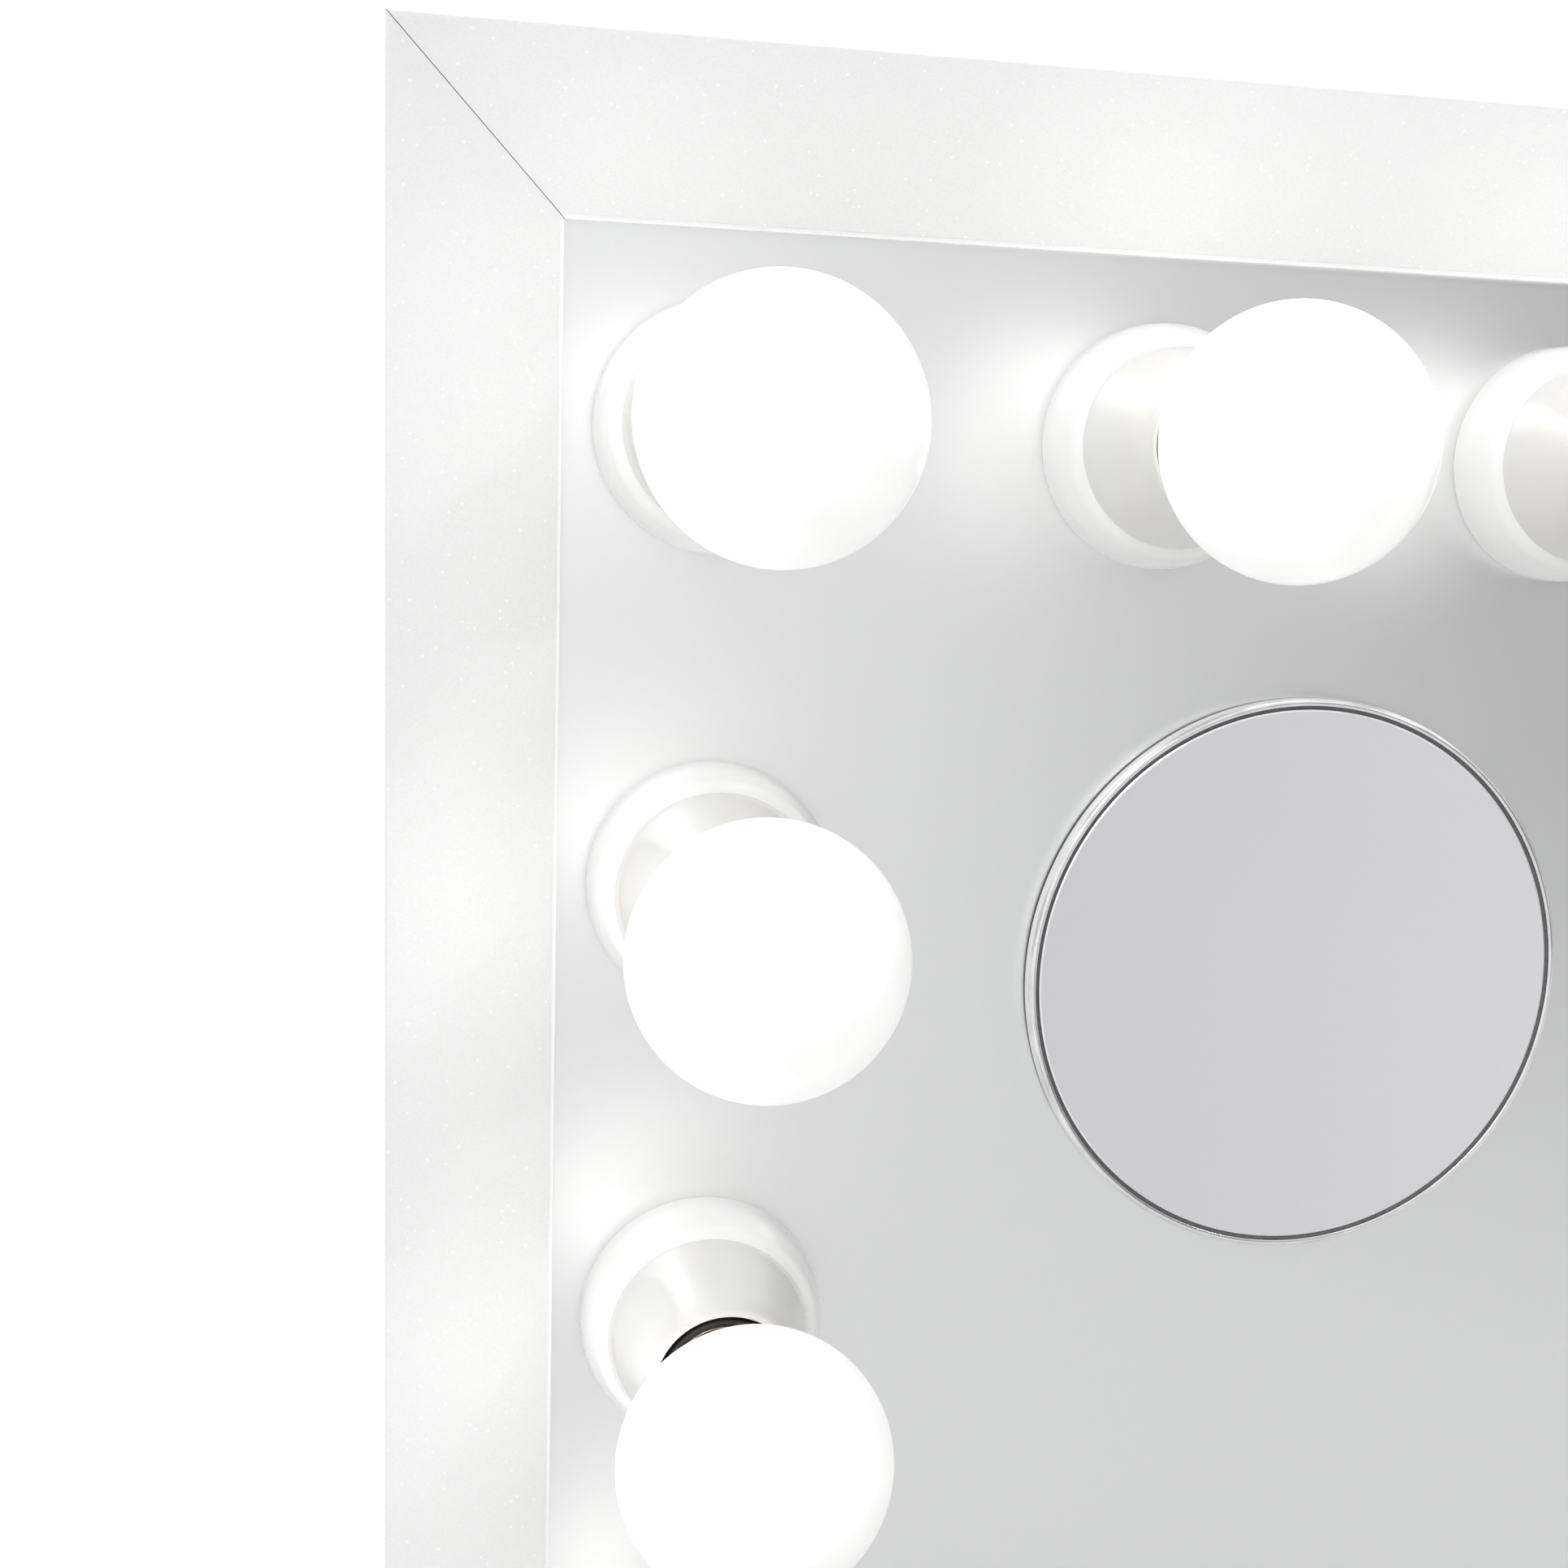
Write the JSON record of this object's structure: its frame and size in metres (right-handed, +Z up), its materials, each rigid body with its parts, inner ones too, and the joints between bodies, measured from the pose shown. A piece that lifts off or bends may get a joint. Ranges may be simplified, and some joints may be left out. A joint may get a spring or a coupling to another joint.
{
  "type": "lighted vanity mirror",
  "caption": "Tabletop make-up mirror: white mitred frame, globe lamps on three sides in white screw holders, a clip-on round magnifier, a dimmer knob and bar feet.",
  "frame": {"origin": "middle of the object's footprint, on the surface it stands on", "axes": "+X to the viewer's right, -Y towards the viewer out of the glass, +Z up"},
  "size_m": [0.77, 0.2112, 0.677],
  "materials": {
    "powder_white": "fine sand-texture white powder coat with a slight sparkle",
    "foot_white": "white powder coat on steel bar",
    "cover_white": "smooth white paint on steel sheet",
    "steel": "zinc-plated steel",
    "mirror": "silvered glass",
    "foam": "closed-cell foam tape",
    "board": "pressed fibre board",
    "holder_white": "glossy white moulded plastic",
    "socket_black": "black phenolic moulding",
    "brass": "bright brass",
    "opal": "opal white diffuser, lit",
    "rim_silver": "satin silver",
    "white_plastic": "white moulded plastic",
    "mark_grey": "printed pointer line",
    "lead_white": "white vinyl lead sheath",
    "rubber": "black rubber"
  },
  "bodies": {
    "mirror_case": {"frame_top_rail": "powder_white", "frame_bottom_rail": "powder_white", "frame_left_stile": "powder_white", "frame_right_stile": "powder_white", "left_foot": "foot_white", "right_foot": "foot_white", "back_cover": "cover_white", "corner_brackets": "steel", "corner_screws": "steel", "board_clamps": "steel", "back_cover_screws": "steel", "inlet_screws": "steel", "foot_screws": "steel", "socket_washers": "steel", "socket_locknuts": "steel", "magnifier_keeper": "steel", "dimmer_washer": "steel", "dimmer_ring_nut": "steel", "mirror_glass": "mirror", "glass_foam_tape": "foam", "backing_board": "board", "holder_skirts": "holder_white", "holder_husks": "holder_white", "socket_cores": "socket_black", "dimmer_body": "socket_black", "inlet_body": "socket_black", "socket_shells": "brass", "socket_contacts": "brass", "socket_nipples": "brass", "inlet_pins": "brass", "dimmer_bush": "brass", "terminal_block": "white_plastic", "cable_clips": "white_plastic", "supply_loom": "lead_white", "left_foot_pads": "rubber", "right_foot_pads": "rubber"},
    "magnifier": {"magnifier_rim": "rim_silver", "magnifier_glass": "mirror", "magnifier_back": "white_plastic", "magnifier_magnets": "steel"},
    "knob": {"dimmer_knob": "rim_silver", "dimmer_shaft": "steel", "knob_mark": "mark_grey"},
    "lamp_01": {"bulb_01": "opal"},
    "lamp_02": {"bulb_02": "opal"},
    "lamp_03": {"bulb_03": "opal"},
    "lamp_04": {"bulb_04": "opal"},
    "lamp_05": {"bulb_05": "opal"},
    "lamp_06": {"bulb_06": "opal"},
    "lamp_07": {"bulb_07": "opal"},
    "lamp_08": {"bulb_08": "opal"},
    "lamp_09": {"bulb_09": "opal"},
    "lamp_10": {"bulb_10": "opal"},
    "lamp_11": {"bulb_11": "opal"},
    "lamp_12": {"bulb_12": "opal"},
    "lamp_13": {"bulb_13": "opal"},
    "lamp_14": {"bulb_14": "opal"}
  },
  "joints": [
    {"name": "magnifier_pull_off", "type": "slide", "parent": "mirror_case", "child": "magnifier", "axis": [0, -1, 0], "range_m": [0, 0.04]},
    {"name": "dimmer_turn", "type": "hinge", "parent": "mirror_case", "child": "knob", "pos_m": [0, 0.0266, 0.081], "axis": [0, -1, 0], "range_deg": [0, 300]},
    {"name": "lamp_01_out", "type": "slide", "parent": "mirror_case", "child": "lamp_01", "axis": [0, -1, 0], "range_m": [0, 0.035]},
    {"name": "lamp_02_out", "type": "slide", "parent": "mirror_case", "child": "lamp_02", "axis": [0, -1, 0], "range_m": [0, 0.035]},
    {"name": "lamp_03_out", "type": "slide", "parent": "mirror_case", "child": "lamp_03", "axis": [0, -1, 0], "range_m": [0, 0.035]},
    {"name": "lamp_04_out", "type": "slide", "parent": "mirror_case", "child": "lamp_04", "axis": [0, -1, 0], "range_m": [0, 0.035]},
    {"name": "lamp_05_out", "type": "slide", "parent": "mirror_case", "child": "lamp_05", "axis": [0, -1, 0], "range_m": [0, 0.035]},
    {"name": "lamp_06_out", "type": "slide", "parent": "mirror_case", "child": "lamp_06", "axis": [0, -1, 0], "range_m": [0, 0.035]},
    {"name": "lamp_07_out", "type": "slide", "parent": "mirror_case", "child": "lamp_07", "axis": [0, -1, 0], "range_m": [0, 0.035]},
    {"name": "lamp_08_out", "type": "slide", "parent": "mirror_case", "child": "lamp_08", "axis": [0, -1, 0], "range_m": [0, 0.035]},
    {"name": "lamp_09_out", "type": "slide", "parent": "mirror_case", "child": "lamp_09", "axis": [0, -1, 0], "range_m": [0, 0.035]},
    {"name": "lamp_10_out", "type": "slide", "parent": "mirror_case", "child": "lamp_10", "axis": [0, -1, 0], "range_m": [0, 0.035]},
    {"name": "lamp_11_out", "type": "slide", "parent": "mirror_case", "child": "lamp_11", "axis": [0, -1, 0], "range_m": [0, 0.035]},
    {"name": "lamp_12_out", "type": "slide", "parent": "mirror_case", "child": "lamp_12", "axis": [0, -1, 0], "range_m": [0, 0.035]},
    {"name": "lamp_13_out", "type": "slide", "parent": "mirror_case", "child": "lamp_13", "axis": [0, -1, 0], "range_m": [0, 0.035]},
    {"name": "lamp_14_out", "type": "slide", "parent": "mirror_case", "child": "lamp_14", "axis": [0, -1, 0], "range_m": [0, 0.035]}
  ]
}
